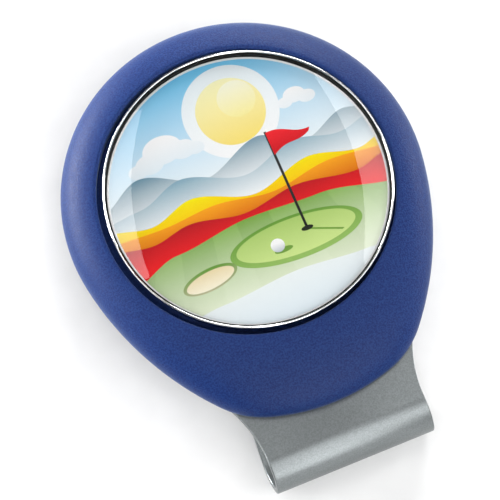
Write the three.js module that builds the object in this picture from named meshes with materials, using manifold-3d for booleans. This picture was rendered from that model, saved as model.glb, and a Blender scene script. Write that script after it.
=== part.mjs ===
// Golf hat clip with a magnetic ball marker.
//
// A soft-touch plastic body holds a round coin marker on a hidden magnet. A folded sheet-metal spring
// clip is riveted into the back of the body. Units are millimetres and +Z is up. The object lies on
// its clip leaf with the marker facing up, the clip's fold points to -Y, and the origin is the centre
// of the object's footprint at the height of the surface it lies on.

import * as THREE from 'three';
import { mergeVertices } from 'three/addons/utils/BufferGeometryUtils.js';
import Module from 'manifold-3d';

// ---- Driving dimensions -----------------------------------------------------------------------

// Egg-shaped body outline: four tangent arcs on each side. Each arc ends where the outline's
// outward normal has turned by the given angle from +X towards the clip.
const TOP_RADIUS = 16.08;
const TOP_CENTRE_Y = 0.34;
const TOP_ARC_END = THREE.MathUtils.degToRad(8.1);
const SIDE_RADIUS = 28.4;
const SIDE_ARC_END = THREE.MathUtils.degToRad(40.6);
const CORNER_RADIUS = 8.2;
const CORNER_ARC_END = THREE.MathUtils.degToRad(71.8);

// Sheet-metal clip.
const SHEET = 0.6;
const FOLD_RADIUS = 2.6;
const FOLD_Y = -22.1;
const FOLD_HALF_WIDTH = 7.4;
const FLARE_RADIUS = 12;
const FLARE_END_Y = -16;
const NECK_ROOT_Y = -13;
const NECK_ROOT_HALF_WIDTH = 8.4;
const FOLD_SPLIT_GAP = 0.3;
const LEAF_RISE = THREE.MathUtils.degToRad(20);
const LEAF_CROWN_RADIUS = 40;
const LEAF_CREST_RADIUS = 12;
const LEAF_DIP = THREE.MathUtils.degToRad(18);
const LEAF_TIP_RADIUS = 2.5;
const LEAF_TIP_RISE = THREE.MathUtils.degToRad(28);
const LEAF_TIP_HALF_WIDTH = 5.8;
const LEAF_CORNER_RADIUS = 2.4;
const GRIP_GAP = 0.35;

// Body heights, measured from the surface the object lies on.
const PLATE_TOP_Z = 2 * FOLD_RADIUS;
const BACK_Z = PLATE_TOP_Z - SHEET;
const WIDEST_Z = BACK_Z + 1;
const LIP_Z = 8.75;
const RECESS_FLOOR_Z = 7.05;
const BACK_EDGE_INSET = 0.8;

// Recess and the dome round it.
const RECESS_RADIUS = 13.05;
const LIP_RADIUS = 13.35;
const LIP_CHAMFER = 0.2;
const DOME_START = 0.35;

// Rebate for the clip plate in the body's back.
const PLATE_INSET = 2.4;
const FIT_GAP = 0.2;
const REBATE_GAP = 0.05;

// Magnet and its tape.
const MAGNET_RADIUS = 5;
const MAGNET_HEIGHT = 0.95;
const TAPE_RADIUS = 4.6;
const TAPE_HEIGHT = 0.2;
const MAGNET_EDGE = 0.1;
const SEAT_GAP = 0.05;

// Rivets that hold the plate: a domed head and a shank pressed into the body.
const RIVET_PLACES = [[10.2, -6.5], [-10.2, -6.5], [8.4, 8.2], [-8.4, 8.2]];
const RIVET_SHANK_RADIUS = 0.7;
const RIVET_SHANK_HEIGHT = 1;
const RIVET_HEAD_RADIUS = 1.4;
const RIVET_HEAD_HEIGHT = 0.45;
const RIVET_CROWN_SHARE = 0.6;
const RIVET_SIDE_SHARE = 0.5;
const RIVET_SEAT_GAP = 0.01;
const HOLE_CLEARANCE = 0.05;

// Coin marker.
const MARKER_RADIUS = 12.7;
const MARKER_HEIGHT = 1.9;
const MARKER_X = 0.2;
const RIM_WIDTH = 0.34;
const RIM_BEAD = 0.1;
const RIM_GROOVE_DEPTH = 0.16;
const CUP_FLOOR = 0.5;
const CUP_EDGE = 0.3;
const CORE_HEIGHT = 0.45;
const PRINT_HEIGHT = 0.15;
const DOME_EDGE = 0.3;
const DOME_RISE = 0.55;
const DOME_POWER = 3;

// Facets.
const OUTLINE_STEPS = 72;
const ROUND_STEPS = 72;
const SMALL_STEPS = 20;
const DOME_ROWS = 8;
const EDGE_ROWS = 3;
const NECK_STEPS = 8;
const LEAF_FOLD_STEPS = 14;
const PLATE_FOLD_STEPS = 10;
const CROWN_STEPS = 8;
const CREST_STEPS = 6;
const TIP_STEPS = 8;
const BEAD_STEPS = 8;
const LENS_ROWS = 8;
const CUT_MARGIN = 1;
const MERGE_DISTANCE = 1e-5;
const ANGLE_SLACK = 1e-9;

// Display finishes.
const SOFT_TOUCH_BLUE = { color: 0x283c82, roughness: 0.6, metalness: 0 };
const BLASTED_STEEL = { color: 0x9fa4a6, roughness: 0.45, metalness: 1 };
const RIVET_STEEL = { color: 0xb4b8ba, roughness: 0.4, metalness: 1 };
const NICKEL = { color: 0xc9ccd0, roughness: 0.25, metalness: 1 };
const FOAM_TAPE = { color: 0xe8e6df, roughness: 0.9, metalness: 0 };
const BRIGHT_CHROME = { color: 0xe6e8ea, roughness: 0.08, metalness: 1 };
const PLAIN_IRON = { color: 0x8a8d8f, roughness: 0.5, metalness: 1 };
const PRINTED_PAPER = { color: 0xdfeaf2, roughness: 0.7, metalness: 0 };
const CLEAR_RESIN = { color: 0xffffff, roughness: 0.05, metalness: 0 };

// ---- Solids and booleans ----------------------------------------------------------------------

const wasm = await Module();
wasm.setup();

function toSolid(geometry) {
  const bare = geometry.index ? geometry.toNonIndexed() : geometry.clone();
  bare.deleteAttribute('normal');
  bare.deleteAttribute('uv');
  const merged = mergeVertices(bare, MERGE_DISTANCE);
  return new wasm.Manifold(new wasm.Mesh({
    numProp: 3,
    vertProperties: new Float32Array(merged.attributes.position.array),
    triVerts: new Uint32Array(merged.index.array),
  }));
}

function toGeometry(solid) {
  const mesh = solid.getMesh();
  const geometry = new THREE.BufferGeometry();
  geometry.setAttribute('position', new THREE.BufferAttribute(new Float32Array(mesh.vertProperties), 3));
  geometry.setIndex(new THREE.BufferAttribute(new Uint32Array(mesh.triVerts), 1));
  geometry.computeVertexNormals();
  return geometry;
}

function unite(geometries) {
  return toGeometry(geometries.map(toSolid).reduce((all, solid) => all.add(solid)));
}

function cut(geometry, cutters) {
  return toGeometry(cutters.map(toSolid).reduce((rest, solid) => rest.subtract(solid), toSolid(geometry)));
}

// A turned piece from a closed profile of [radius, height] points, turned about Z.
function turned(profile, steps = ROUND_STEPS) {
  const points = profile.map(([radius, height]) => new THREE.Vector2(radius, height));
  return new THREE.LatheGeometry(points, steps).rotateX(Math.PI / 2);
}

function disc(radius, bottom, top, steps = ROUND_STEPS) {
  return turned([[0, bottom], [radius, bottom], [radius, top], [0, top]], steps);
}

function slab(shape, bottom, top) {
  const geometry = new THREE.ExtrudeGeometry(shape, { depth: top - bottom, bevelEnabled: false });
  return geometry.translate(0, 0, bottom);
}

// A loft through closed rings of equal length, closed by a fan at each end.
function loft(rings, firstTip, lastTip) {
  const count = rings[0].length;
  const positions = rings.flat().flatMap((point) => point.toArray());
  const first = rings.length * count;
  positions.push(...firstTip.toArray(), ...lastTip.toArray());
  const index = [];
  for (let i = 0; i < count; i += 1) {
    const next = (i + 1) % count;
    index.push(first, next, i);
    for (let row = 0; row + 1 < rings.length; row += 1) {
      const low = row * count;
      const high = low + count;
      index.push(low + i, low + next, high + next);
      index.push(low + i, high + next, high + i);
    }
    const last = (rings.length - 1) * count;
    index.push(first + 1, last + i, last + next);
  }
  const geometry = new THREE.BufferGeometry();
  geometry.setAttribute('position', new THREE.Float32BufferAttribute(positions, 3));
  geometry.setIndex(index);
  return geometry;
}

// ---- Body outline -----------------------------------------------------------------------------

// The direction turned by `turn` from +X towards the clip.
function towards(turn) {
  return new THREE.Vector2(Math.cos(turn), -Math.sin(turn));
}

// Centres of the four arcs of the outline's right-hand side.
function outlineArcs() {
  const top = new THREE.Vector2(0, TOP_CENTRE_Y);
  const side = top.clone().addScaledVector(towards(TOP_ARC_END), TOP_RADIUS - SIDE_RADIUS);
  const corner = side.clone().addScaledVector(towards(SIDE_ARC_END), SIDE_RADIUS - CORNER_RADIUS);
  const endRadius = CORNER_RADIUS + corner.x / Math.cos(CORNER_ARC_END);
  const end = corner.clone().addScaledVector(towards(CORNER_ARC_END), CORNER_RADIUS - endRadius);
  return [
    { centre: top, radius: TOP_RADIUS, until: TOP_ARC_END },
    { centre: side, radius: SIDE_RADIUS, until: SIDE_ARC_END },
    { centre: corner, radius: CORNER_RADIUS, until: CORNER_ARC_END },
    { centre: end, radius: endRadius, until: Math.PI / 2 },
  ];
}

const ARCS = outlineArcs();

// The outline's point whose normal is turned by `turn` from +X towards the clip, moved inwards by inset.
function outlinePoint(turn, inset = 0) {
  const arc = ARCS.find((item) => turn <= item.until + ANGLE_SLACK);
  return arc.centre.clone().addScaledVector(towards(turn), arc.radius - inset);
}

// The whole outline, anticlockwise seen from above, starting at the end nearest the clip.
function outline(inset = 0) {
  const half = OUTLINE_STEPS / 2;
  const points = [];
  for (let i = 0; i < OUTLINE_STEPS; i += 1) {
    const turn = Math.PI / 2 - (Math.PI * Math.min(i, OUTLINE_STEPS - i)) / half;
    const point = outlinePoint(turn, inset);
    points.push(i <= half ? point : new THREE.Vector2(-point.x, point.y));
  }
  return points;
}

const BODY_END_Y = outlinePoint(Math.PI / 2).y;
const BODY_TOP_Y = outlinePoint(-Math.PI / 2).y;

// ---- Body shell -------------------------------------------------------------------------------

function lift(points, height) {
  return points.map((point) => new THREE.Vector3(point.x, point.y, height));
}

// One ring of the dome: `across` runs from DOME_START at the lip to 1 at the widest outline.
function domeRing(across) {
  const share = (across - DOME_START) / (1 - DOME_START);
  const drop = Math.sqrt(1 - across * across) / Math.sqrt(1 - DOME_START * DOME_START);
  const height = WIDEST_Z + (LIP_Z - WIDEST_Z) * drop;
  const ring = outline().map((point) => point.clone().setLength(
    THREE.MathUtils.lerp(LIP_RADIUS, point.length(), share),
  ));
  return lift(ring, height);
}

function outerForm() {
  const rings = [];
  for (let row = EDGE_ROWS; row > 0; row -= 1) {
    const angle = (Math.PI / 2) * (row / EDGE_ROWS);
    const inset = BACK_EDGE_INSET * (1 - Math.cos(angle));
    rings.push(lift(outline(inset), WIDEST_Z - (WIDEST_Z - BACK_Z) * Math.sin(angle)));
  }
  for (let row = 0; row <= DOME_ROWS; row += 1) {
    const lipAngle = Math.acos(DOME_START);
    rings.push(domeRing(Math.cos(lipAngle * (row / DOME_ROWS))));
  }
  return loft(rings, new THREE.Vector3(0, 0, BACK_Z), new THREE.Vector3(0, 0, LIP_Z));
}

function recessCutter() {
  return turned([
    [0, RECESS_FLOOR_Z],
    [RECESS_RADIUS, RECESS_FLOOR_Z],
    [RECESS_RADIUS, LIP_Z - LIP_CHAMFER],
    [RECESS_RADIUS + LIP_CHAMFER, LIP_Z],
    [RECESS_RADIUS + LIP_CHAMFER, LIP_Z + CUT_MARGIN],
    [0, LIP_Z + CUT_MARGIN],
  ]);
}

function rivetHoles() {
  const top = PLATE_TOP_Z + REBATE_GAP + RIVET_SHANK_HEIGHT;
  return RIVET_PLACES.map(([x, y]) => (
    disc(RIVET_SHANK_RADIUS + HOLE_CLEARANCE, BACK_Z - CUT_MARGIN, top, SMALL_STEPS).translate(x, y, 0)
  ));
}

function bodyShell() {
  const rebateTop = PLATE_TOP_Z + REBATE_GAP;
  const rebate = [
    slab(new THREE.Shape(outline(PLATE_INSET - FIT_GAP)), BACK_Z - CUT_MARGIN, rebateTop),
    slab(neckShape(FIT_GAP), BACK_Z - CUT_MARGIN, rebateTop),
  ];
  const pocketTop = PLATE_TOP_Z + TAPE_HEIGHT + MAGNET_HEIGHT + 3 * SEAT_GAP;
  const pocket = disc(MAGNET_RADIUS + FIT_GAP, BACK_Z - CUT_MARGIN, pocketTop);
  return cut(outerForm(), [recessCutter(), ...rebate, pocket, ...rivetHoles()]);
}

// ---- Spring clip ------------------------------------------------------------------------------

// Half the strip's width at a place along Y: parallel at the fold, flaring out towards the body.
function neckHalfWidth(y) {
  const along = Math.max(0, y - FOLD_Y);
  return FOLD_HALF_WIDTH + FLARE_RADIUS - Math.sqrt(FLARE_RADIUS * FLARE_RADIUS - along * along);
}

// The flat flared neck between the fold and the plate, seen from above, with its root inside the plate.
function neckShape(clearance = 0) {
  const right = [];
  for (let i = 0; i <= NECK_STEPS; i += 1) {
    const y = THREE.MathUtils.lerp(FOLD_Y, FLARE_END_Y, i / NECK_STEPS);
    right.push(new THREE.Vector2(neckHalfWidth(y) + clearance, y));
  }
  right.push(new THREE.Vector2(NECK_ROOT_HALF_WIDTH + clearance, NECK_ROOT_Y));
  const left = right.map((point) => new THREE.Vector2(-point.x, point.y)).reverse();
  return new THREE.Shape([...right, ...left]);
}

// A point and direction that walks along the strip's middle line in the Y-Z plane.
function walkArc(stations, radius, turn, steps) {
  const from = stations[stations.length - 1];
  const side = Math.sign(turn);
  const centre = new THREE.Vector2(-Math.sin(from.heading), Math.cos(from.heading));
  centre.multiplyScalar(side * radius).add(from.at);
  for (let i = 1; i <= steps; i += 1) {
    const heading = from.heading + (turn * i) / steps;
    const at = new THREE.Vector2(Math.sin(heading), -Math.cos(heading)).multiplyScalar(side * radius);
    stations.push({ at: at.add(centre), heading });
  }
}

function walkLine(stations, length) {
  const { at, heading } = stations[stations.length - 1];
  const step = new THREE.Vector2(Math.cos(heading), Math.sin(heading)).multiplyScalar(length);
  stations.push({ at: at.clone().add(step), heading });
}

// Middle line of the back leaf: lower half of the fold, rise, crown, dip and upturned tip.
function leafLine() {
  const middle = FOLD_RADIUS - SHEET / 2;
  const splitAngle = FOLD_SPLIT_GAP / 2 / middle;
  const start = new THREE.Vector2(
    FOLD_Y - middle * Math.cos(splitAngle),
    FOLD_RADIUS - middle * Math.sin(splitAngle),
  );
  const stations = [{ at: start, heading: -Math.PI / 2 + splitAngle }];
  walkArc(stations, middle, Math.PI / 2 - splitAngle + LEAF_RISE, LEAF_FOLD_STEPS);
  const crestHeight = BACK_Z - GRIP_GAP - SHEET / 2;
  const crownRise = LEAF_CROWN_RADIUS * (1 - Math.cos(LEAF_RISE));
  const riseEnd = stations[stations.length - 1].at.y;
  walkLine(stations, (crestHeight - crownRise - riseEnd) / Math.sin(LEAF_RISE));
  walkArc(stations, LEAF_CROWN_RADIUS, -LEAF_RISE, CROWN_STEPS);
  walkArc(stations, LEAF_CREST_RADIUS, -LEAF_DIP, CREST_STEPS);
  const tipDrop = LEAF_TIP_RADIUS * (1 - Math.cos(LEAF_DIP));
  const dipStart = stations[stations.length - 1].at.y;
  walkLine(stations, (dipStart - tipDrop - SHEET / 2) / Math.sin(LEAF_DIP));
  walkArc(stations, LEAF_TIP_RADIUS, LEAF_DIP + LEAF_TIP_RISE, TIP_STEPS);
  return stations;
}

// Sweeps a flat strip along a middle line in the Y-Z plane, with its own half width at each station.
function strip(stations, halfWidth) {
  const rings = stations.map((station, i) => {
    const width = halfWidth(station, i);
    const normal = new THREE.Vector2(-Math.sin(station.heading), Math.cos(station.heading));
    const upper = station.at.clone().addScaledVector(normal, SHEET / 2);
    const lower = station.at.clone().addScaledVector(normal, -SHEET / 2);
    return [
      new THREE.Vector3(width, lower.x, lower.y),
      new THREE.Vector3(-width, lower.x, lower.y),
      new THREE.Vector3(-width, upper.x, upper.y),
      new THREE.Vector3(width, upper.x, upper.y),
    ];
  });
  const first = new THREE.Vector3(0, stations[0].at.x, stations[0].at.y);
  const end = stations[stations.length - 1].at;
  return loft(rings, first, new THREE.Vector3(0, end.x, end.y));
}

// Adds stations to a line's last stretch, so that the rounded tip corners have points to turn on.
function withCornerStations(stations) {
  const end = stations[stations.length - 1];
  const dense = [];
  for (const station of stations) {
    const previous = dense[dense.length - 1];
    const near = previous && end.at.distanceTo(station.at) < LEAF_CORNER_RADIUS;
    if (near) {
      const heading = (previous.heading + station.heading) / 2;
      dense.push({ at: previous.at.clone().lerp(station.at, 0.5), heading });
    }
    dense.push(station);
  }
  return dense;
}

function clipLeaf() {
  const stations = withCornerStations(leafLine());
  const end = stations[stations.length - 1].at;
  return strip(stations, ({ at }) => {
    const share = THREE.MathUtils.clamp((at.x - FOLD_Y) / (end.x - FOLD_Y), 0, 1);
    const width = THREE.MathUtils.lerp(FOLD_HALF_WIDTH, LEAF_TIP_HALF_WIDTH, share);
    const back = Math.min(at.distanceTo(end), LEAF_CORNER_RADIUS);
    const chord = (LEAF_CORNER_RADIUS - back) ** 2;
    return width - LEAF_CORNER_RADIUS + Math.sqrt(LEAF_CORNER_RADIUS ** 2 - chord);
  });
}

// The upper half of the fold, from just above the split to the flat neck.
function upperFold() {
  const middle = FOLD_RADIUS - SHEET / 2;
  const splitAngle = FOLD_SPLIT_GAP / 2 / middle;
  const start = new THREE.Vector2(FOLD_Y, FOLD_RADIUS + middle);
  const stations = [{ at: start, heading: Math.PI }];
  walkArc(stations, middle, Math.PI / 2 - splitAngle, PLATE_FOLD_STEPS);
  return strip(stations, () => FOLD_HALF_WIDTH);
}

function clipPlate() {
  const plate = slab(new THREE.Shape(outline(PLATE_INSET)), BACK_Z, PLATE_TOP_Z);
  const neck = slab(neckShape(), BACK_Z, PLATE_TOP_Z);
  return cut(unite([plate, neck, upperFold()]), rivetHoles());
}

function rivet() {
  const head = BACK_Z - RIVET_HEAD_HEIGHT;
  const side = BACK_Z - RIVET_HEAD_HEIGHT * RIVET_SIDE_SHARE;
  const seat = BACK_Z - RIVET_SEAT_GAP;
  const tip = PLATE_TOP_Z + RIVET_SHANK_HEIGHT;
  return turned([
    [0, head],
    [RIVET_HEAD_RADIUS * RIVET_CROWN_SHARE, head],
    [RIVET_HEAD_RADIUS, side],
    [RIVET_HEAD_RADIUS, seat],
    [RIVET_SHANK_RADIUS, seat],
    [RIVET_SHANK_RADIUS, tip],
    [0, tip],
  ], SMALL_STEPS);
}

// ---- Magnet -----------------------------------------------------------------------------------

const TAPE_Z = PLATE_TOP_Z + SEAT_GAP;
const MAGNET_Z = TAPE_Z + TAPE_HEIGHT + SEAT_GAP;

function magnet() {
  const top = MAGNET_Z + MAGNET_HEIGHT;
  return turned([
    [0, MAGNET_Z],
    [MAGNET_RADIUS - MAGNET_EDGE, MAGNET_Z],
    [MAGNET_RADIUS, MAGNET_Z + MAGNET_EDGE],
    [MAGNET_RADIUS, top - MAGNET_EDGE],
    [MAGNET_RADIUS - MAGNET_EDGE, top],
    [0, top],
  ]);
}

// ---- Coin marker ------------------------------------------------------------------------------

const MARKER_Z = RECESS_FLOOR_Z + SEAT_GAP;
const RIM_TOP_Z = MARKER_Z + MARKER_HEIGHT;
const WELL_RADIUS = MARKER_RADIUS - RIM_WIDTH;
const CORE_Z = MARKER_Z + CUP_FLOOR + SEAT_GAP;
const PRINT_Z = CORE_Z + CORE_HEIGHT + SEAT_GAP;
const DOME_Z = PRINT_Z + PRINT_HEIGHT + SEAT_GAP;

// A pressed cup with a flat floor, a round bead rolled along its rim and a narrow groove inside the bead.
function markerCup() {
  const beadCentre = MARKER_RADIUS - RIM_BEAD;
  const groove = RIM_TOP_Z - RIM_GROOVE_DEPTH;
  const bead = [];
  for (let i = 0; i <= BEAD_STEPS; i += 1) {
    const angle = (Math.PI * i) / BEAD_STEPS;
    bead.push([
      beadCentre + RIM_BEAD * Math.cos(angle),
      RIM_TOP_Z - RIM_BEAD * (1 - Math.sin(angle)),
    ]);
  }
  return turned([
    [0, MARKER_Z],
    [MARKER_RADIUS - CUP_EDGE, MARKER_Z],
    [MARKER_RADIUS, MARKER_Z + CUP_EDGE],
    ...bead,
    [beadCentre - RIM_BEAD, groove],
    [WELL_RADIUS, groove],
    [WELL_RADIUS, MARKER_Z + CUP_FLOOR],
    [0, MARKER_Z + CUP_FLOOR],
  ]);
}

// The clear dome: nearly flat in the middle and steeper towards its edge.
function markerDome() {
  const radius = WELL_RADIUS - SEAT_GAP;
  const profile = [[0, DOME_Z], [radius, DOME_Z]];
  for (let row = 0; row <= LENS_ROWS; row += 1) {
    const across = 1 - row / LENS_ROWS;
    profile.push([radius * across, DOME_Z + DOME_EDGE + DOME_RISE * (1 - across ** DOME_POWER)]);
  }
  return turned(profile);
}

// ---- Assembly ---------------------------------------------------------------------------------

function piece(name, geometry, finish) {
  const mesh = new THREE.Mesh(geometry, new THREE.MeshStandardMaterial(finish));
  mesh.name = name;
  return mesh;
}

function bodyPieces() {
  const group = new THREE.Group();
  group.add(piece('body_shell', bodyShell(), SOFT_TOUCH_BLUE));
  group.add(piece('magnet', magnet(), NICKEL));
  group.add(piece('magnet_tape', disc(TAPE_RADIUS, TAPE_Z, TAPE_Z + TAPE_HEIGHT), FOAM_TAPE));
  return group;
}

function clipPieces() {
  const group = new THREE.Group();
  group.add(piece('clip_plate', clipPlate(), BLASTED_STEEL));
  group.add(piece('clip_leaf', clipLeaf(), BLASTED_STEEL));
  RIVET_PLACES.forEach(([x, y], i) => {
    const mesh = piece(`clip_rivet_${i + 1}`, rivet(), RIVET_STEEL);
    mesh.position.set(x, y, 0);
    group.add(mesh);
  });
  return group;
}

function markerPieces() {
  const group = new THREE.Group();
  const printTop = PRINT_Z + PRINT_HEIGHT;
  const inner = WELL_RADIUS - SEAT_GAP;
  group.add(piece('marker_cup', markerCup(), BRIGHT_CHROME));
  group.add(piece('marker_core', disc(inner, CORE_Z, CORE_Z + CORE_HEIGHT), PLAIN_IRON));
  group.add(piece('marker_print', disc(inner, PRINT_Z, printTop), PRINTED_PAPER));
  group.add(piece('marker_dome', markerDome(), CLEAR_RESIN));
  group.position.x = MARKER_X;
  return group;
}

const hatClip = new THREE.Group();
hatClip.add(bodyPieces(), clipPieces(), markerPieces());
hatClip.position.y = -(BODY_TOP_Y + FOLD_Y - FOLD_RADIUS) / 2;

export default hatClip;
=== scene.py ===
"""Looks of the golf hat clip with a magnetic ball marker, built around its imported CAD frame.

Sizes of the object are written in millimetres and turned into metres as each mesh is made; the floor and
the lamps are in metres. Row axes: +X to the right, +Y away from the clip's fold, +Z up out of the marker's
face.
"""

import math

import bmesh
import bpy
import numpy as np
from mathutils import Matrix, Quaternion, Vector
from mathutils.geometry import delaunay_2d_cdt


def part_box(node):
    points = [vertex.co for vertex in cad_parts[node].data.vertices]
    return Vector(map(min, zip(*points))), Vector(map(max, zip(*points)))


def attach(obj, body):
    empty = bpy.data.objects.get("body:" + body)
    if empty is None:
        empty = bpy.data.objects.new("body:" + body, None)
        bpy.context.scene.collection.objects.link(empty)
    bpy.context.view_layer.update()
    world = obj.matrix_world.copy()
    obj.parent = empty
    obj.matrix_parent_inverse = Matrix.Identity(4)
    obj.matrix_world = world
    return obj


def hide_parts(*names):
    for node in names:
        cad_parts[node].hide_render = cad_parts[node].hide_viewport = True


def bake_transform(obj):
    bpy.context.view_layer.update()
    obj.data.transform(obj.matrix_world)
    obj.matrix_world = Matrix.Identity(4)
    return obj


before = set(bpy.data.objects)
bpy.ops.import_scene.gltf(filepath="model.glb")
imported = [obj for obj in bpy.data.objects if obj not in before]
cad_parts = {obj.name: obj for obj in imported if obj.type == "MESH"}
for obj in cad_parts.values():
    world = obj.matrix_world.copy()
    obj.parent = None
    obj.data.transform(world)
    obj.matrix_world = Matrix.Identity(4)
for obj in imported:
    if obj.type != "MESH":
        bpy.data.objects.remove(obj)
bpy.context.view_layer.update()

MM = 0.001
TINY = 1e-6

# ---- Sizes of the object, in millimetres -------------------------------------------------------

cup_low, cup_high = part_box("marker_cup")
RECESS_Y = (cup_low.y + cup_high.y) / 2 / MM
MARKER_X = (cup_low.x + cup_high.x) / 2 / MM

# Body outline: tangent arcs of one side, as (radius, angle of the outward normal where the arc ends).
TOP_RADIUS, TOP_CENTRE_Y, TOP_ARC_END = 16.08, 0.34, math.radians(8.1)
SIDE_RADIUS, SIDE_ARC_END = 28.4, math.radians(40.6)
CORNER_RADIUS, CORNER_ARC_END = 8.2, math.radians(71.8)

BACK_Z, WIDEST_Z, LIP_Z, RECESS_FLOOR_Z = 4.6, 5.6, 8.75, 7.05
BACK_EDGE_INSET = 0.8
RECESS_RADIUS, LIP_RADIUS, LIP_ROUND, LIP_ROUND_END = 13.05, 13.35, 0.22, 96
FLOOR_ROUND = 0.12
DOME_START = 0.35
REBATE_INSET, REBATE_ROUND, REBATE_TOP_Z = 2.2, 0.08, 5.25
POCKET_RADIUS, POCKET_TOP_Z = 5.2, 6.6

SHEET, FOLD_RADIUS = 0.6, 2.6
FOLD_Y = -22.094
FOLD_HALF_WIDTH, FLARE_RADIUS, FLARE_END_Y = 7.4, 12.0, -16.0
NECK_ROOT_Y, NECK_ROOT_HALF_WIDTH, NECK_GAP = -13.0, 8.4, 0.2
NECK_SLOT_END_Y, NECK_SLOT_LOW_Z, NECK_SLOT_ROOF_GAP = -14.6, 3.0, 0.01
PLATE_INSET, PLATE_TOP_Z = 2.4, 5.2
PLATE_FRONT_Y, PLATE_TIP_TRIM, LEAST_HALF_WIDTH = -14.2, 0.002, 0.05
SHEET_EDGE, EDGE_SHARE = 0.11, 0.9
LEAF_RISE, LEAF_CROWN_RADIUS = math.radians(20), 40.0
LEAF_CREST_RADIUS, LEAF_DIP = 12.0, math.radians(18)
LEAF_TIP_RADIUS, LEAF_TIP_RISE = 2.5, math.radians(28)
LEAF_TIP_HALF_WIDTH, LEAF_CORNER_RADIUS = 5.8, 2.4
GRIP_GAP = 0.35

RIVET_PLACES = [(10.2, -6.5), (-10.2, -6.5), (8.4, 8.2), (-8.4, 8.2)]
RIVET_HEAD_HEIGHT, RIVET_SHANK_RADIUS, RIVET_TOP_Z = 0.45, 0.7, 6.1
RIVET_DIMPLE = [(0, 0.12), (0.3, 0.1), (0.42, 0.02), (0.5, 0)]
RIVET_SHOULDER = [(0.8, 0.02), (1.1, 0.09), (1.3, 0.2), (1.38, 0.32)]
RIVET_SEAT = [(1.4, -0.04), (1.37, -0.01), (RIVET_SHANK_RADIUS, -0.01)]

MARKER_RADIUS, WELL_RADIUS = 12.7, 12.36
RIM_BEAD, GROOVE_Z, GROOVE_ROUND, GROOVE_EDGE = 0.1, 8.84, 0.04, 0.02
CUP_BOTTOM_Z, CUP_FLOOR_Z, RIM_TOP_Z = 7.1, 7.6, 9.0
CUP_FOOT_ROUND, CUP_WELL_ROUND, CUP_UNDER_ROW_RADIUS = 0.3, 0.1, 6
PRINT_Z, PRINT_TOP_Z, PRINT_RADIUS, ART_RADIUS = 8.15, 8.3, 12.31, 12.12
LENS_Z, LENS_EDGE_Z, LENS_RISE, LENS_POWER = 8.35, 8.65, 0.55, 3
LENS_ROUND, LENS_ROUND_START = 0.12, 75

# ---- Rows and points of the meshes, and the angles in degrees above which an edge is sharp -----

OUTLINE_STEPS = 288
FLOOR_ROW_RADII = (2, 6, 10)
DOME_ROWS, BACK_ROWS, LIP_STEPS, SMALL_CORNER_STEPS = 44, 10, 6, 3
NECK_STEPS, NECK_SPACING, FOLD_STEPS = 40, 0.16, 48
RISE_STEPS, CROWN_STEPS, CREST_STEPS, TIP_STEPS, LEAF_CORNER_STEPS, EDGE_STEPS = 8, 40, 20, 24, 16, 4
SHEET_CORNER_POINTS = 4
RIVET_STEPS, CUP_STEPS, BEAD_STEPS, FOOT_STEPS, LENS_ROWS, PRINT_STEPS = 64, 288, 16, 6, 28, 240
SHARP_ANGLE, SHARP_AFTER_CUT, SHARP_PRINT = 40, 35, 30


# ---- Mesh making -------------------------------------------------------------------------------

def mesh_object(name, points, faces):
    """A smooth-shaded object from points in millimetres round the recess's centre."""
    mesh = bpy.data.meshes.new(name)
    placed = [(x * MM, (y + RECESS_Y) * MM, z * MM) for x, y, z in points]
    mesh.from_pydata(placed, [], faces)
    tidy = bmesh.new()
    tidy.from_mesh(mesh)
    bmesh.ops.recalc_face_normals(tidy, faces=tidy.faces)
    tidy.to_mesh(mesh)
    tidy.free()
    mesh.shade_smooth()
    mesh.set_sharp_from_angle(angle=math.radians(SHARP_ANGLE))
    thing = bpy.data.objects.new(name, mesh)
    bpy.context.scene.collection.objects.link(thing)
    return thing


def loft(rings, first=None, last=None):
    """Points and faces of a skin over closed rings; each end has a middle point or one flat face."""
    count = len(rings[0])
    points = [tuple(p) for ring in rings for p in ring]
    faces = []
    for row in range(len(rings) - 1):
        for i in range(count):
            j = (i + 1) % count
            low, high = row * count, (row + 1) * count
            faces.append((low + i, low + j, high + j, high + i))
    for tip, base in ((first, 0), (last, (len(rings) - 1) * count)):
        if tip is None:
            faces.append(tuple(base + i for i in range(count)))
            continue
        points.append(tuple(tip))
        faces.extend((base + i, base + (i + 1) % count, len(points) - 1) for i in range(count))
    return points, faces


def turned(name, profile, steps, x, y=0.0):
    """A turned piece: profile is (radius, height) from the axis out and back to the axis."""
    rings = []
    for radius, height in profile[1:-1]:
        turn = [2 * math.pi * i / steps for i in range(steps)]
        rings.append([(x + radius * math.cos(t), y + radius * math.sin(t), height) for t in turn])
    points, faces = loft(rings, (x, y, profile[0][1]), (x, y, profile[-1][1]))
    return mesh_object(name, points, faces)


def round_corner(centre, radius, start, end, steps):
    """Points (across, height) on an arc from angle start to angle end, in degrees."""
    found = []
    for i in range(steps + 1):
        angle = math.radians(start + (end - start) * i / steps)
        found.append((centre[0] + radius * math.cos(angle), centre[1] + radius * math.sin(angle)))
    return found


# ---- Body --------------------------------------------------------------------------------------

def towards(turn):
    """The direction turned from +X towards the clip."""
    return np.array([math.cos(turn), -math.sin(turn)])


def outline_arcs():
    """Centre, radius and end angle of the four arcs of the outline's right-hand side."""
    top = np.array([0.0, TOP_CENTRE_Y])
    side = top + towards(TOP_ARC_END) * (TOP_RADIUS - SIDE_RADIUS)
    corner = side + towards(SIDE_ARC_END) * (SIDE_RADIUS - CORNER_RADIUS)
    end_radius = CORNER_RADIUS + corner[0] / math.cos(CORNER_ARC_END)
    end = corner + towards(CORNER_ARC_END) * (CORNER_RADIUS - end_radius)
    return [
        (top, TOP_RADIUS, TOP_ARC_END),
        (side, SIDE_RADIUS, SIDE_ARC_END),
        (corner, CORNER_RADIUS, CORNER_ARC_END),
        (end, end_radius, math.pi / 2),
    ]


ARCS = outline_arcs()


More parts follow.
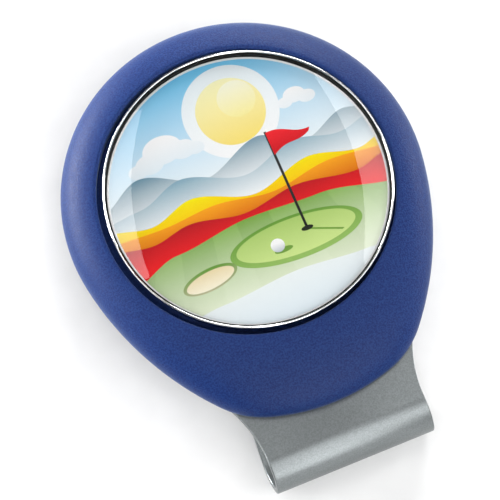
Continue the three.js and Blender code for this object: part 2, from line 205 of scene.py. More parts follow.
def outline_point(turn, inset):
    """The outline's point whose normal is turned by turn from +X towards the clip, moved inwards."""
    centre, radius, _ = next(arc for arc in ARCS if turn <= arc[2] + TINY)
    return centre + towards(turn) * (radius - inset)


def outline(inset=0.0):
    """The points of the body's outline, moved inwards by inset."""
    half = OUTLINE_STEPS / 2
    found = []
    for i in range(OUTLINE_STEPS):
        turn = math.pi / 2 - math.pi * min(i, OUTLINE_STEPS - i) / half
        x, y = outline_point(turn, inset)
        found.append((x if i <= half else -x, y))
    return found


def circle_row(radius, height):
    """A round row of the body's skin, with its points in the outline's own directions."""
    row = []
    for x, y in outline():
        reach = math.hypot(x, y)
        row.append((x * radius / reach, y * radius / reach, height))
    return row


def dome_row(angle):
    """A row of the dome round the recess, from the lip at acos(DOME_START) to the widest outline at 0."""
    across = math.cos(angle)
    share = (across - DOME_START) / (1 - DOME_START)
    height = WIDEST_Z + (LIP_Z - WIDEST_Z) * math.sin(angle) / math.sqrt(1 - DOME_START ** 2)
    row = []
    for x, y in outline():
        reach = math.hypot(x, y)
        scale = (LIP_RADIUS + (reach - LIP_RADIUS) * share) / reach
        row.append((x * scale, y * scale, height))
    return row


def inset_row(inset, height):
    """The outline moved inwards by inset, as a row at one height."""
    return [(x, y, height) for x, y in outline(inset)]


def body_skin():
    """The plastic body as one skin: recess, lip, dome, back rim, the clip's rebate and magnet pocket."""
    rows = []
    floor_corner = (RECESS_RADIUS - FLOOR_ROUND, RECESS_FLOOR_Z + FLOOR_ROUND)
    for radius in FLOOR_ROW_RADII:
        rows.append(circle_row(radius, RECESS_FLOOR_Z))
    for radius, height in round_corner(floor_corner, FLOOR_ROUND, -90, 0, SMALL_CORNER_STEPS):
        rows.append(circle_row(radius, height))
    lip_corner = (RECESS_RADIUS + LIP_ROUND, LIP_Z - LIP_ROUND)
    for radius, height in round_corner(lip_corner, LIP_ROUND, 180, LIP_ROUND_END, LIP_STEPS):
        rows.append(circle_row(radius, height))
    for i in range(DOME_ROWS + 1):
        rows.append(dome_row(math.acos(DOME_START) * (1 - i / DOME_ROWS)))
    for i in range(1, BACK_ROWS + 1):
        angle = math.pi / 2 * i / BACK_ROWS
        inset = BACK_EDGE_INSET * (1 - math.cos(angle))
        rows.append(inset_row(inset, WIDEST_Z - (WIDEST_Z - BACK_Z) * math.sin(angle)))
    rebate_corner = (REBATE_INSET - REBATE_ROUND, BACK_Z + REBATE_ROUND)
    for inset, height in round_corner(rebate_corner, REBATE_ROUND, -90, 0, SMALL_CORNER_STEPS):
        rows.append(inset_row(inset, height))
    rows.append(inset_row(REBATE_INSET, REBATE_TOP_Z))
    for height in (REBATE_TOP_Z, POCKET_TOP_Z):
        rows.append(circle_row(POCKET_RADIUS, height))
    points, faces = loft(rows, (0, 0, RECESS_FLOOR_Z), (0, 0, POCKET_TOP_Z))
    return mesh_object("body_skin", points, faces)


def neck_half_width(y):
    """Half the clip's width at y: parallel at the fold, flared, then straight into the plate."""
    if y > FLARE_END_Y:
        share = (y - FLARE_END_Y) / (NECK_ROOT_Y - FLARE_END_Y)
        start = neck_half_width(FLARE_END_Y)
        return start + (NECK_ROOT_HALF_WIDTH - start) * share
    along = max(0.0, y - FOLD_Y)
    return FOLD_HALF_WIDTH + FLARE_RADIUS - math.sqrt(FLARE_RADIUS ** 2 - along ** 2)


def neck_cutter():
    """The block that opens the body's back rim for the clip's neck."""
    side = []
    for i in range(NECK_STEPS + 1):
        y = FOLD_Y + (NECK_SLOT_END_Y - FOLD_Y) * i / NECK_STEPS
        side.append((neck_half_width(y) + NECK_GAP, y))
    plan = side + [(-x, y) for x, y in reversed(side)]
    heights = (NECK_SLOT_LOW_Z, REBATE_TOP_Z - NECK_SLOT_ROOF_GAP)
    rings = [[(x, y, z) for x, y in plan] for z in heights]
    points, faces = loft(rings)
    return mesh_object("neck_cutter", points, faces)


def subtract(thing, cutter):
    """Cuts one mesh out of another for good."""
    modifier = thing.modifiers.new("cut", "BOOLEAN")
    modifier.operation, modifier.object, modifier.solver = "DIFFERENCE", cutter, "EXACT"
    graph = bpy.context.evaluated_depsgraph_get()
    mesh = bpy.data.meshes.new_from_object(thing.evaluated_get(graph))
    thing.modifiers.clear()
    thing.data = mesh
    mesh.shade_smooth()
    mesh.set_sharp_from_angle(angle=math.radians(SHARP_AFTER_CUT))
    bpy.data.objects.remove(cutter)
    return thing


# ---- Clip --------------------------------------------------------------------------------------

def walk_arc(stations, radius, turn, steps):
    """Adds (y, z, heading) stations on an arc that turns by turn; positive turns to the left."""
    y, z, heading = stations[-1]
    side = math.copysign(1, turn)
    cy, cz = y - math.sin(heading) * side * radius, z + math.cos(heading) * side * radius
    for i in range(1, steps + 1):
        now = heading + turn * i / steps
        stations.append((cy + math.sin(now) * side * radius, cz - math.cos(now) * side * radius, now))


def walk_line(stations, length, steps):
    """Adds stations straight ahead."""
    y, z, heading = stations[-1]
    for i in range(1, steps + 1):
        along = length * i / steps
        stations.append((y + math.cos(heading) * along, z + math.sin(heading) * along, heading))


def sheet_ring(station, half_width, half_thick):
    """A rounded rectangle across the sheet at a station of its middle line."""
    y, z, heading = station
    edge = min(SHEET_EDGE, half_width * EDGE_SHARE, half_thick * EDGE_SHARE)
    ring = []
    for quarter, (sx, sn) in enumerate(((1, 1), (-1, 1), (-1, -1), (1, -1))):
        for i in range(SHEET_CORNER_POINTS):
            angle = math.pi / 2 * (quarter + i / (SHEET_CORNER_POINTS - 1))
            x = sx * (half_width - edge) + edge * math.cos(angle)
            n = sn * (half_thick - edge) + edge * math.sin(angle)
            ring.append((x, y - math.sin(heading) * n, z + math.cos(heading) * n))
    return ring


def strip(name, stations, widths, closing=()):
    """The sheet swept along its stations, with more rings to close its far edge."""
    rings = [sheet_ring(s, w, SHEET / 2) for s, w in zip(stations, widths)]
    points, faces = loft(rings + list(closing))
    return mesh_object(name, points, faces)


def clip_sheet():
    """The plate, its neck and the whole fold down to its lowest line, as one sheet."""
    half = OUTLINE_STEPS // 2
    plate = [outline_point(math.pi / 2 - math.pi * i / half, PLATE_INSET) for i in range(half + 1)]
    xs, ys = zip(*plate)
    middle = PLATE_TOP_Z - SHEET / 2
    top_ys = [y for y in reversed(ys) if y > PLATE_FRONT_Y]
    top_ys[0] -= PLATE_TIP_TRIM
    neck_steps = round((top_ys[-1] - FOLD_Y) / NECK_SPACING)
    rest = [top_ys[-1] + (FOLD_Y - top_ys[-1]) * i / neck_steps for i in range(1, neck_steps + 1)]
    stations = [(y, middle, math.pi) for y in top_ys + rest]
    walk_arc(stations, FOLD_RADIUS - SHEET / 2, math.pi, FOLD_STEPS)
    widths = []
    for y, z, _ in stations:
        flat = z > middle - TINY
        plate_half = float(np.interp(y, ys, xs, left=0.0)) if flat else 0.0
        neck_half = neck_half_width(y) if flat and y < NECK_ROOT_Y else 0.0
        widths.append(max(plate_half, neck_half, LEAST_HALF_WIDTH) if flat else FOLD_HALF_WIDTH)
    return strip("clip_sheet", stations, widths)


def back_leaf():
    """The leaf from the fold's lowest line: rise, crown, dip and upturned tip with round corners."""
    middle = FOLD_RADIUS - SHEET / 2
    stations = [(FOLD_Y, SHEET / 2, 0.0)]
    walk_arc(stations, middle, LEAF_RISE, RISE_STEPS)
    crest = BACK_Z - GRIP_GAP - SHEET / 2
    crown = LEAF_CROWN_RADIUS * (1 - math.cos(LEAF_RISE))
    walk_line(stations, (crest - crown - stations[-1][1]) / math.sin(LEAF_RISE), RISE_STEPS)
    walk_arc(stations, LEAF_CROWN_RADIUS, -LEAF_RISE, CROWN_STEPS)
    walk_arc(stations, LEAF_CREST_RADIUS, -LEAF_DIP, CREST_STEPS)
    drop = stations[-1][1] - LEAF_TIP_RADIUS * (1 - math.cos(LEAF_DIP)) - SHEET / 2
    walk_line(stations, drop / math.sin(LEAF_DIP), TIP_STEPS)
    walk_arc(stations, LEAF_TIP_RADIUS, LEAF_DIP + LEAF_TIP_RISE, TIP_STEPS)
    end_y = stations[-1][0]
    along = [0.0]
    for (y0, z0, _), (y1, z1, _) in zip(stations, stations[1:]):
        along.append(along[-1] + math.hypot(y1 - y0, z1 - z0))
    total = along[-1] - SHEET_EDGE
    wanted = [a for a in along if a < total - LEAF_CORNER_RADIUS]
    for i in range(LEAF_CORNER_STEPS + 1):
        angle = math.pi / 2 * i / LEAF_CORNER_STEPS
        wanted.append(total - LEAF_CORNER_RADIUS * (1 - math.sin(angle)))
    ys, zs, turns = zip(*stations)
    placed = [tuple(float(np.interp(a, along, v)) for v in (ys, zs, turns)) for a in wanted]
    widths = []
    for a, (y, _, _) in zip(wanted, placed):
        share = min(1.0, max(0.0, (y - FOLD_Y) / (end_y - FOLD_Y)))
        width = FOLD_HALF_WIDTH + (LEAF_TIP_HALF_WIDTH - FOLD_HALF_WIDTH) * share
        back = LEAF_CORNER_RADIUS - min(total - a, LEAF_CORNER_RADIUS)
        corner = math.sqrt(max(LEAF_CORNER_RADIUS ** 2 - back ** 2, 0))
        widths.append(width - LEAF_CORNER_RADIUS + corner)
    closing = []
    y, z, heading = placed[-1]
    for i in range(1, EDGE_STEPS + 1):
        angle = math.pi / 2 * i / EDGE_STEPS
        ahead, shrink = SHEET_EDGE * math.sin(angle), SHEET_EDGE * (1 - math.cos(angle))
        station = (y + math.cos(heading) * ahead, z + math.sin(heading) * ahead, heading)
        closing.append(sheet_ring(station, widths[-1] - shrink, SHEET / 2 - shrink))
    return strip("back_leaf", placed, widths, closing)


def rivet(number, x, y):
    """A low domed head with a small dimple, over its shank."""
    head = BACK_Z - RIVET_HEAD_HEIGHT
    profile = [(radius, head + height) for radius, height in RIVET_DIMPLE + RIVET_SHOULDER]
    profile += [(radius, BACK_Z + height) for radius, height in RIVET_SEAT]
    profile += [(RIVET_SHANK_RADIUS, RIVET_TOP_Z), (0, RIVET_TOP_Z)]
    return turned(f"rivet_{number}", profile, RIVET_STEPS, x, y)


# ---- Coin marker -------------------------------------------------------------------------------

def marker_cup():
    """A pressed cup: flat floor, rounded foot, straight wall, a rolled bead and a groove inside it."""
    bead_centre = (MARKER_RADIUS - RIM_BEAD, RIM_TOP_Z - RIM_BEAD)
    foot = (MARKER_RADIUS - CUP_FOOT_ROUND, CUP_BOTTOM_Z + CUP_FOOT_ROUND)
    groove_corner = (MARKER_RADIUS - 2 * RIM_BEAD - GROOVE_ROUND, GROOVE_Z + GROOVE_ROUND)
    profile = [(0, CUP_BOTTOM_Z), (CUP_UNDER_ROW_RADIUS, CUP_BOTTOM_Z)]
    profile += round_corner(foot, CUP_FOOT_ROUND, -90, 0, FOOT_STEPS)
    profile += round_corner(bead_centre, RIM_BEAD, 0, 180, BEAD_STEPS)
    groove_start = len(profile) - 1
    profile += round_corner(groove_corner, GROOVE_ROUND, 0, -90, SMALL_CORNER_STEPS)
    profile += [(WELL_RADIUS + GROOVE_EDGE, GROOVE_Z), (WELL_RADIUS, GROOVE_Z - GROOVE_EDGE)]
    profile.append((WELL_RADIUS, CUP_FLOOR_Z + CUP_WELL_ROUND))
    groove_end = len(profile) - 1
    profile += [(WELL_RADIUS - CUP_WELL_ROUND, CUP_FLOOR_Z), (0, CUP_FLOOR_Z)]
    cup = turned("marker_rim", profile, CUP_STEPS, MARKER_X)
    cup.data.materials.append(chrome())
    # The groove's faces take the near-black coat: painted shade and painted dark reflection.
    cup.data.materials.append(painted_groove_shade())
    for face in cup.data.polygons:
        start = face.index // CUP_STEPS + 1
        face.material_index = int(groove_start <= start < groove_end)
    return cup


def lens():
    """The clear dome: nearly flat in the middle, steeper towards its rounded edge."""
    reach = PRINT_RADIUS - LENS_ROUND
    profile = [(0, LENS_EDGE_Z + LENS_RISE)]
    for i in range(1, LENS_ROWS + 1):
        across = i / LENS_ROWS
        profile.append((reach * across, LENS_EDGE_Z + LENS_RISE * (1 - across ** LENS_POWER)))
    profile += round_corner((reach, LENS_EDGE_Z - LENS_ROUND), LENS_ROUND, LENS_ROUND_START, 0, FOOT_STEPS)
    profile += [(PRINT_RADIUS, LENS_Z), (0, LENS_Z)]
    return turned("lens", profile, CUP_STEPS, MARKER_X)


# ---- Materials ---------------------------------------------------------------------------------

PAPER_WHITE = 0.77


def new_material(name):
    """A new material with its node tree and its shader."""
    made = bpy.data.materials.new(name)
    made.use_nodes = True
    return made, made.node_tree, made.node_tree.nodes["Principled BSDF"]


def noise(tree, scale, detail=2.0):
    """The value of a noise texture in the object's own coordinates; scale is in features per metre."""
    texture = tree.nodes.new("ShaderNodeTexNoise")
    texture.inputs["Scale"].default_value = scale
    texture.inputs["Detail"].default_value = detail
    tree.links.new(tree.nodes.new("ShaderNodeTexCoord").outputs["Object"], texture.inputs["Vector"])
    return texture.outputs["Fac"]


def ramp(tree, value, stops):
    """A colour ramp over value; stops are (position, colour)."""
    node = tree.nodes.new("ShaderNodeValToRGB")
    elements = node.color_ramp.elements
    while len(elements) < len(stops):
        elements.new(0.5)
    for element, (position, colour) in zip(elements, stops):
        element.position = position
        element.color = (*colour, 1)
    tree.links.new(value, node.inputs["Fac"])
    return node.outputs["Color"]


def spread(tree, value, low, high, from_low=0.3, from_high=0.7):
    """Maps a noise value to the range low to high."""
    node = tree.nodes.new("ShaderNodeMapRange")
    node.inputs["From Min"].default_value = from_low
    node.inputs["From Max"].default_value = from_high
    node.inputs["To Min"].default_value = low
    node.inputs["To Max"].default_value = high
    tree.links.new(value, node.inputs["Value"])
    return node.outputs["Result"]


def bump(tree, value, strength, depth):
    """A normal from relief that follows value; depth is in millimetres."""
    node = tree.nodes.new("ShaderNodeBump")
    node.inputs["Strength"].default_value = strength
    node.inputs["Distance"].default_value = depth * MM
    tree.links.new(value, node.inputs["Height"])
    return node.outputs["Normal"]


def grained(name, dark, light, rough, grain, depth, metallic=0.0, tone_scale=900, strength=0.5):
    """A finish with fine grain in its colour and relief, and broader changes in its roughness."""
    made, tree, shader = new_material(name)
    fine = noise(tree, grain, detail=1.5)
    broad = noise(tree, tone_scale)
    tree.links.new(ramp(tree, fine, [(0.35, dark), (0.65, light)]), shader.inputs["Base Color"])
    tree.links.new(spread(tree, broad, *rough), shader.inputs["Roughness"])
    tree.links.new(bump(tree, fine, strength, depth), shader.inputs["Normal"])
    shader.inputs["Metallic"].default_value = metallic
    return made, shader


def soft_touch():
    """The body's velvety blue coating."""
    made, shader = grained(
        "soft_touch_blue", (0.0002, 0.0125, 0.100), (0.0060, 0.0325, 0.152),
        rough=(0.48, 0.56), grain=7000, depth=0.06, tone_scale=2500)
    shader.inputs["Specular IOR Level"].default_value = 0.24
    shader.inputs["Sheen Weight"].default_value = 0.2
    shader.inputs["Sheen Tint"].default_value = (0.6, 0.78, 1.0, 1)
    shader.inputs["Sheen Roughness"].default_value = 0.35
    return made


def blasted_steel():
    made, _ = grained(
        "blasted_steel", (0.20, 0.218, 0.222), (0.25, 0.270, 0.274),
        rough=(0.36, 0.42), grain=8000, depth=0.014, metallic=1.0, tone_scale=5000)
    return made


def rivet_steel():
    made, _ = grained(
        "rivet_steel", (0.5, 0.51, 0.52), (0.6, 0.61, 0.62),
        rough=(0.24, 0.36), grain=5000, depth=0.003, metallic=1.0)
    return made


def chrome():
    made, _ = grained(
        "bright_chrome", (0.86, 0.87, 0.88), (0.92, 0.925, 0.93),
        rough=(0.05, 0.11), grain=2500, depth=0.0008, metallic=1.0, strength=0.2)
    return made


def painted_groove_shade():
    """The rim's groove: a dull near-black coat, painted shade and painted dark reflection in the narrow
    groove.
    """
    made, shader = grained(
        "groove_painted_shade", (0.002, 0.002, 0.002), (0.012, 0.012, 0.01),
        rough=(0.45, 0.7), grain=9000, depth=0.01)
    shader.inputs["Specular IOR Level"].default_value = 0.1
    return made


def clear_resin():
    """Clear resin that shows the print below it and has a polished surface's gloss on its outside."""
    made, tree, shader = new_material("clear_resin")
    tree.nodes.remove(shader)
    clear = tree.nodes.new("ShaderNodeBsdfTransparent")
    gloss = tree.nodes.new("ShaderNodeBsdfGlossy")
    tree.links.new(spread(tree, noise(tree, scale=300), low=0.01, high=0.025), gloss.inputs["Roughness"])
    waves = bump(tree, noise(tree, scale=160, detail=1), strength=0.1, depth=0.01)
    tree.links.new(waves, gloss.inputs["Normal"])
    fresnel = tree.nodes.new("ShaderNodeFresnel")
    fresnel.inputs["IOR"].default_value = 1.5
    outside = tree.nodes.new("ShaderNodeMath")
    outside.operation = "SUBTRACT"
    outside.inputs[0].default_value = 1
    tree.links.new(tree.nodes.new("ShaderNodeNewGeometry").outputs["Backfacing"], outside.inputs[1])
    share = tree.nodes.new("ShaderNodeMath")
    share.operation = "MULTIPLY"
    tree.links.new(fresnel.outputs["Fac"], share.inputs[0])
    tree.links.new(outside.outputs["Value"], share.inputs[1])
    mix = tree.nodes.new("ShaderNodeMixShader")
    tree.links.new(share.outputs["Value"], mix.inputs["Fac"])
    tree.links.new(clear.outputs["BSDF"], mix.inputs[1])
    tree.links.new(gloss.outputs["BSDF"], mix.inputs[2])
    tree.links.new(mix.outputs["Shader"], tree.nodes["Material Output"].inputs["Surface"])
    return made


def ink(name, bottom, low, top, high):
    """A printed area whose colour runs from low at bottom to high at top, both measured up the picture."""
    made, tree, shader = new_material("ink_" + name)
    place = tree.nodes.new("ShaderNodeSeparateXYZ")
    tree.links.new(tree.nodes.new("ShaderNodeTexCoord").outputs["Object"], place.inputs["Vector"])
    height = spread(
        tree, place.outputs["Y"], low=0, high=1,
        from_low=(bottom + RECESS_Y) * MM, from_high=(top + RECESS_Y) * MM)
    paper = [tuple(PAPER_WHITE * channel for channel in colour) for colour in (low, high)]
    colour = ramp(tree, height, [(0, paper[0]), (1, paper[1])])
    fibre = ramp(tree, noise(tree, scale=9000), [(0.3, (0.95, 0.95, 0.95)), (0.7, (1, 1, 1))])
    mix = tree.nodes.new("ShaderNodeMix")
    mix.data_type, mix.blend_type = "RGBA", "MULTIPLY"
    mix.inputs["Factor"].default_value = 1
    tree.links.new(colour, mix.inputs[6])
    tree.links.new(fibre, mix.inputs[7])
    tree.links.new(mix.outputs[2], shader.inputs["Base Color"])
    tree.links.new(spread(tree, noise(tree, scale=3000), low=0.6, high=0.75), shader.inputs["Roughness"])
    shader.inputs["Specular IOR Level"].default_value = 0.05
    return made


def finish(thing, made, body, slot, *nodes):
    """Gives a piece its material and body, and hides the CAD nodes it stands for. Its slot is not used.

    made is None for a piece that already has its materials, and body is None for one left on no body.
    """
    if made:
        thing.data.materials.append(made)
    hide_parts(*nodes)
    if body:
        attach(thing, body)


# ---- Printed insert ----------------------------------------------------------------------------

HILL_REACH, HILL_BOTTOM, HILL_POINTS = 13, -14, 105


def ellipse(x, y, rx, ry, tilt=0.0, steps=72):
    """Points of an ellipse round (x, y), turned by tilt degrees."""
    c, s = math.cos(math.radians(tilt)), math.sin(math.radians(tilt))
    found = []
    for i in range(steps):
        t = 2 * math.pi * i / steps
        u, v = rx * math.cos(t), ry * math.sin(t)
        found.append((x + u * c - v * s, y + u * s + v * c))
    return found


def hill(*knots):
    """Ground below a smooth line through knots (x, y), closed below the print's edge."""
    xs, ys = np.array(knots, float).T
    line = []
    for x in np.linspace(-HILL_REACH, HILL_REACH, HILL_POINTS):
        k = int(np.clip(np.searchsorted(xs, x) - 1, 0, len(xs) - 2))
        t = float(np.clip((x - xs[k]) / (xs[k + 1] - xs[k]), 0, 1))
        line.append((float(x), float(ys[k] + (ys[k + 1] - ys[k]) * t * t * (3 - 2 * t))))
    return line + [(HILL_REACH, HILL_BOTTOM), (-HILL_REACH, HILL_BOTTOM)]


def inside(point, shape):
    """Whether a closed outline goes round a point."""
    x, y = point
    odd = False
    for (x0, y0), (x1, y1) in zip(shape, shape[1:] + shape[:1]):
        if (y0 > y) != (y1 > y) and x < (x1 - x0) * (y - y0) / (y1 - y0) + x0:
            odd = not odd
    return odd


def area(name, shape, bottom, low, top, high, within=None):
    """A printed area: its outline, its colours at two heights, and the outline that it is cut to."""
    return {"name": name, "shape": shape, "ink": (bottom, low, top, high), "within": within}


def sky():
    white, warm = (1, 1, 1), (1.0, 0.9, 0.36)
    areas = [area("sky", None, 2.0, (0.9, 0.97, 1.0), 12.2, (0.14, 0.58, 0.9))]
    areas.append(area("halo", ellipse(1.4, 7.3, 4.3, 4.3), 3.0, white, 12.0, (0.86, 0.96, 1.0)))
    areas.append(area("sun", ellipse(1.4, 7.3, 3.1, 3.1), 4.4, (1.0, 0.8, 0.2), 10.2, (1.0, 0.97, 0.56)))
    areas.append(area("glow", ellipse(2.3, 8.2, 1.7, 1.7), 6.5, warm, 9.9, (1.0, 1.0, 0.8)))
    puffs = [(-7.0, 5.5, 1.3), (-5.5, 6.3, 1.8), (-3.8, 5.7, 1.2), (-8.2, 5.2, 0.9), (-2.7, 5.4, 0.8)]
    puffs += [(7.1, 6.6, 1.0), (8.1, 6.1, 0.8), (6.1, 6.2, 0.7)]
    for i, (x, y, r) in enumerate(puffs):
        areas.append(area(f"cloud{i}", ellipse(x, y, r, r * 0.72), 4.4, (0.8, 0.9, 0.96), 7.2, white))
    return areas


def hills():
    pale, slate = (0.94, 0.97, 0.98), (0.15, 0.3, 0.39)
    far = hill((-13, 2.6), (-8.5, 4.6), (-3.0, 2.4), (2.6, 4.3), (6.5, 2.4), (10.5, 3.8), (13, 3.2))
    middle = hill((-13, 1.6), (-9.5, 1.9), (-5.2, 3.2), (0.4, 1.4), (5.4, 2.8), (9.4, 1.9), (13, 2.6))
    gold = hill((-13, 0.9), (-9.0, 0.1), (-5.0, 1.2), (0.5, -0.5), (6.0, 0.9), (10.5, -0.1), (13, 0.5))
    amber = hill((-13, -0.2), (-8.0, -0.4), (-3.5, -0.1), (2.0, -0.9), (7.5, -0.1), (13, -0.6))
    red = hill((-13, -1.0), (-9.5, -1.5), (-6.0, -0.9), (-1.0, -1.8), (4.0, -1.1), (9.5, -1.9), (13, -1.1))
    return [
        area("far", far, 0.6, pale, 4.6, slate),
        area("middle", middle, -0.6, pale, 3.2, (0.24, 0.42, 0.52)),
        area("gold", gold, -1.6, (1.0, 0.52, 0.0), 1.2, (1.0, 0.85, 0.0)),
        area("amber", amber, -2.2, (0.72, 0.14, 0.0), -0.1, (1.0, 0.4, 0.01)),
        area("red", red, -3.4, (0.9, 0.012, 0.016), -0.9, (0.5, 0.006, 0.012)),
    ]


def course():
    dark, light, moss = (0.2, 0.4, 0.06), (0.42, 0.62, 0.16), (0.14, 0.34, 0.04)
    fairway = hill((-13, -4.6), (-8.0, -3.1), (-1.0, -2.3), (5.5, -2.6), (13, -4.0))
    areas = [area("fairway", fairway, -9.4, (0.86, 0.93, 0.72), -2.3, dark)]
    for i, x in enumerate((-9.2, -4.2, 0.8, 5.8)):
        stripe = [(x, -1), (x + 2.1, -1), (x * 1.45 + 3.6, -11), (x * 1.45, -11)]
        areas.append(area(f"mown{i}", stripe, -9.4, (0.88, 0.945, 0.75), -2.3, (0.24, 0.45, 0.08), fairway))
    areas += [
        area("fringe", ellipse(2.2, -5.5, 6.1, 2.0, -2), -7.5, (0.34, 0.56, 0.14), -3.5, moss),
        area("green", ellipse(2.2, -5.4, 5.5, 1.65, -2), -7.1, (0.66, 0.84, 0.3), -3.7, light),
        area("sand_edge", ellipse(-6.2, -6.2, 2.6, 1.0, 6), -7.2, (0.5, 0.5, 0.3), -5.2, moss),
        area("sand", ellipse(-6.2, -6.25, 2.3, 0.78, 6), -7.0, (1.0, 0.93, 0.72), -5.4, (0.86, 0.72, 0.42)),
    ]
    pale = hill((-13, -9.7), (-6.0, -8.8), (1.0, -8.3), (7.5, -8.8), (13, -9.9))
    areas.append(area("pale", pale, -12, (0.82, 0.92, 0.98), -8.3, (0.9, 0.96, 0.96)))
    return areas


def flag_and_ball():
    black, shade = (0.012, 0.012, 0.012), (0.18, 0.37, 0.055)
    pole_x, pole_top, pole_half, flag_reach = 3.4, 4.4, 0.12, 3.8
    left, right = pole_x - pole_half, pole_x + pole_half
    pole = [(left, -5.1), (right, -5.1), (right, pole_top), (left, pole_top)]
    shadow = [(pole_x - 0.1, -5.2), (pole_x + 0.1, -5.1), (pole_x + 3.0, -6.3), (pole_x + 2.8, -6.4)]
    upper = [(u, 4.3 - u * 0.9) for u in np.linspace(0, 1, 13)]
    lower = [(u, 2.1 + u * 1.1) for u in np.linspace(0.94, 0, 12)]
    flag = [(pole_x + u * flag_reach, y + 0.18 * math.sin(u * 6)) for u, y in upper + lower]
    return [
        area("shadow", shadow, -7, shade, -5, shade),
        area("hole", ellipse(pole_x, -5.1, 0.55, 0.22), -5.4, (0.02, 0.03, 0.01), -4.8, black),
        area("pole", pole, -5.1, black, pole_top, (0.04, 0.04, 0.04)),
        area("flag", flag, 2.0, (0.6, 0.004, 0.012), 4.4, (0.95, 0.02, 0.03)),
        area("ball_shadow", ellipse(0.75, -6.15, 0.85, 0.25), -6.4, shade, -5.9, shade),
        area("ball", ellipse(0.4, -5.6, 0.62, 0.62), -6.3, (0.5, 0.56, 0.62), -5.4, (1, 1, 1)),
        area("margin", None, -12, (0.97, 0.98, 0.98), 12, (0.97, 0.98, 0.98)),
    ]


def uppermost(point, areas):
    """The number of the area that shows at a point; the first area lies under all the others."""
    found = 0
    for number, item in enumerate(areas):
        if item["shape"] and inside(point, item["shape"]):
            if item["within"] is None or inside(point, item["within"]):
                found = number
    return found


def cut_picture(areas):
    """Points and triangles of the picture, cut along every printed edge, and each triangle's area."""
    edge = ellipse(0, 0, PRINT_RADIUS, PRINT_RADIUS, steps=PRINT_STEPS)
    margin = ellipse(0, 0, ART_RADIUS, ART_RADIUS, steps=PRINT_STEPS)
    points, edges = [], []
    for shape in [edge, margin] + [item["shape"] for item in areas if item["shape"]]:
        base = len(points)
        points.extend(shape)
        edges.extend((base + i, base + (i + 1) % len(shape)) for i in range(len(shape)))
    flat, _, triangles, *_ = delaunay_2d_cdt([Vector(p) for p in points], edges, [], 0, TINY)
    kept, marks = [], []
    for triangle in triangles:
        middle = sum((flat[i] for i in triangle), Vector((0, 0))) / 3
        if middle.length > PRINT_RADIUS * math.cos(math.pi / PRINT_STEPS):
            continue
        kept.append(tuple(triangle))
        marks.append(uppermost(middle, areas) if inside(middle, margin) else len(areas) - 1)
    used = sorted({i for face in kept for i in face})
    place = {old: new for new, old in enumerate(used)}
    faces = [tuple(place[i] for i in face) for face in kept]
    return [flat[i] for i in used], faces, marks


def printed_insert():
    """The paper disc: its picture on top, each area with its own ink, then its edge and underside."""
    areas = sky() + hills() + course() + flag_and_ball()
    picture, faces, marks = cut_picture(areas)
    top = [(point.x + MARKER_X, point.y, PRINT_TOP_Z) for point in picture]
    made = mesh_object("printed_insert", top, faces)
    work = bmesh.new()
    work.from_mesh(made.data)
    work.faces.ensure_lookup_table()
    for face, mark in zip(work.faces, marks):
        face.material_index = mark
    rim = [e for e in work.edges if len(e.link_faces) == 1]
    grown = bmesh.ops.extrude_edge_only(work, edges=rim)
    low = [v for v in grown["geom"] if isinstance(v, bmesh.types.BMVert)]
    for vert in low:
        vert.co.z = PRINT_Z * MM
    bottom = [e for e in grown["geom"] if isinstance(e, bmesh.types.BMEdge)]
    bmesh.ops.holes_fill(work, edges=bottom, sides=0)
    bmesh.ops.recalc_face_normals(work, faces=work.faces)
    work.to_mesh(made.data)
    work.free()
    made.data.set_sharp_from_angle(angle=math.radians(SHARP_PRINT))
    for item in areas:
        made.data.materials.append(ink(item["name"], *item["ink"]))
    return made


# ---- Pieces ------------------------------------------------------------------------------------

steel = blasted_steel()

body = subtract(body_skin(), neck_cutter())
finish(body, soft_touch(), "body", "soft_touch", "body_shell")

sheet = clip_sheet()
finish(sheet, steel, None, "clip_steel", "clip_plate", "clip_leaf")
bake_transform(sheet)
finish(back_leaf(), steel, "clip", "clip_steel", "clip_leaf")

rivet_finish = rivet_steel()
for number, (x, y) in enumerate(RIVET_PLACES, 1):
    finish(rivet(number, x, y), rivet_finish, "body", "rivet_steel", f"clip_rivet_{number}")

finish(marker_cup(), None, "marker", "marker_chrome", "marker_cup")
finish(printed_insert(), None, "marker", "print", "marker_print")
finish(lens(), clear_resin(), "marker", "clear_dome", "marker_dome")

nickel, _ = grained(
    "nickel", (0.52, 0.51, 0.48), (0.62, 0.61, 0.58),
    rough=(0.15, 0.3), grain=3000, depth=0.002, metallic=1.0)
foam_tape, _ = grained(
    "foam_tape", (0.6, 0.58, 0.52), (0.8, 0.78, 0.72),
    rough=(0.8, 0.95), grain=5000, depth=0.03)
core_iron, _ = grained(
    "core_iron", (0.2, 0.2, 0.21), (0.32, 0.32, 0.33),
    rough=(0.4, 0.6), grain=4000, depth=0.01, metallic=1.0)
for node, made in (("magnet", nickel), ("magnet_tape", foam_tape), ("marker_core", core_iron)):
    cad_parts[node].data.materials.clear()
    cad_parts[node].data.materials.append(made)

# ---- Floor, light and camera -------------------------------------------------------------------

FLOOR_REACH = 0.75

floor_mesh = bpy.data.meshes.new("floor")
floor_corners = [(x * FLOOR_REACH, y * FLOOR_REACH, 0) for x, y in ((-1, -1), (1, -1), (1, 1), (-1, 1))]
floor_mesh.from_pydata(floor_corners, [], [(0, 1, 2, 3)])
floor = bpy.data.objects.new("floor", floor_mesh)
bpy.context.scene.collection.objects.link(floor)
pale, _ = grained(
    "pale_floor", (0.86, 0.86, 0.86), (0.88, 0.88, 0.88),
    rough=(0.7, 0.8), grain=400, depth=0.01)
floor_mesh.materials.append(pale)

AZIMUTH, ELEVATION, ROLL = math.radians(-25.24), math.radians(72.64), math.radians(2.35)
TARGET = Vector((-1.88, -1.10, 8.97)) * MM
FIELD_WIDTH, SENSOR, LENS = 43.3, 36.0, 400.0

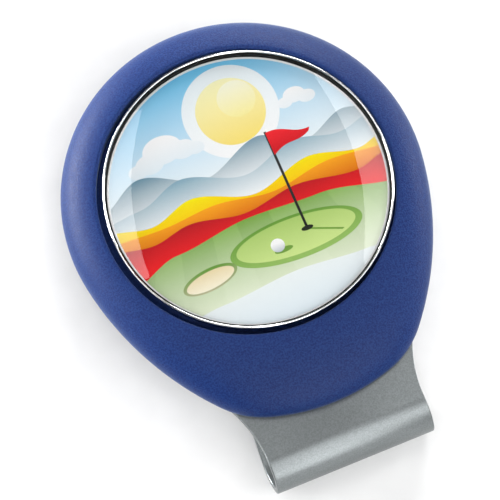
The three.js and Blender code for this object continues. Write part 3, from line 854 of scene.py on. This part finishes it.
back = Vector((
    math.sin(AZIMUTH) * math.cos(ELEVATION),
    -math.cos(AZIMUTH) * math.cos(ELEVATION),
    math.sin(ELEVATION),
))
camera_data = bpy.data.cameras.new("camera")
camera_data.lens, camera_data.sensor_width = LENS, SENSOR
camera = bpy.data.objects.new("camera", camera_data)
bpy.context.scene.collection.objects.link(camera)
camera.location = TARGET + back * (FIELD_WIDTH * LENS / SENSOR * MM)
camera.rotation_mode = "QUATERNION"
camera.rotation_quaternion = (-back).to_track_quat("-Z", "Y") @ Quaternion((0, 0, 1), ROLL)
bpy.context.scene.camera = camera

LAMP_DISTANCE = 0.8


def softbox(name, azimuth, elevation, width, height, power, across=None):
    """A rectangular lamp that faces the object; its azimuth is measured as the camera's is.

    Its width lies level, or in the direction across, an angle from +X seen from above.
    """
    a, e = math.radians(azimuth), math.radians(elevation)
    away = Vector((math.sin(a) * math.cos(e), -math.cos(a) * math.cos(e), math.sin(e)))
    along = math.radians(azimuth if across is None else across)
    side = Vector((math.cos(along), math.sin(along), 0))
    side = (side - away * side.dot(away)).normalized()
    light = bpy.data.lights.new(name, "AREA")
    light.shape, light.size, light.size_y, light.energy = "RECTANGLE", width, height, power
    lamp = bpy.data.objects.new(name, light)
    lamp.location = away * LAMP_DISTANCE
    lamp.rotation_mode = "QUATERNION"
    lamp.rotation_quaternion = Matrix((side, away.cross(side), away)).transposed().to_quaternion()
    lamp.visible_camera = False
    bpy.context.scene.collection.objects.link(lamp)


softbox("left_edge", azimuth=-132, elevation=6, width=0.7, height=0.2, power=17.0)
softbox("left_high", azimuth=-90, elevation=38, width=0.4, height=0.4, power=1.0)
softbox("rear_right", azimuth=150, elevation=20, width=0.4, height=0.3, power=5.0)
softbox("right_edge", azimuth=95, elevation=8, width=0.4, height=0.2, power=3.2)
softbox("front_right", azimuth=45, elevation=38, width=0.4, height=0.4, power=1.7)
softbox("front_low", azimuth=0, elevation=20, width=0.4, height=0.28, power=1.5)
softbox("front_middle", azimuth=0, elevation=41, width=0.4, height=0.28, power=1.3)
softbox("front_high", azimuth=0, elevation=66, width=0.6, height=0.36, power=1.6)
softbox("strip_left", azimuth=-162.5, elevation=67.3, width=0.085, height=0.3, power=0.39, across=158)
softbox("strip_right", azimuth=123, elevation=64, width=0.085, height=0.36, power=0.46, across=-7)

# The sky is dim low down and bright overhead, by the sine of the height above the horizon. The camera
# sees plain white behind the floor.
DIM, BRIGHT = (0.02, 0.02, 0.02), (0.32, 0.32, 0.32)
DIM_BELOW, BRIGHT_ABOVE = 0.7, 0.8

world = bpy.data.worlds.new("studio")
world.use_nodes = True
bpy.context.scene.world = world
tree = world.node_tree
backdrop = tree.nodes["Background"]
direction = tree.nodes.new("ShaderNodeSeparateXYZ")
tree.links.new(tree.nodes.new("ShaderNodeTexCoord").outputs["Generated"], direction.inputs["Vector"])
dome_light = ramp(tree, direction.outputs["Z"], [(DIM_BELOW, DIM), (BRIGHT_ABOVE, BRIGHT)])
seen = tree.nodes.new("ShaderNodeMix")
seen.data_type = "RGBA"
seen.inputs[7].default_value = (1, 1, 1, 1)
tree.links.new(tree.nodes.new("ShaderNodeLightPath").outputs["Is Camera Ray"], seen.inputs["Factor"])
tree.links.new(dome_light, seen.inputs[6])
tree.links.new(seen.outputs[2], backdrop.inputs["Color"])
backdrop.inputs["Strength"].default_value = 1.0

bpy.context.scene.view_settings.view_transform = "Standard"
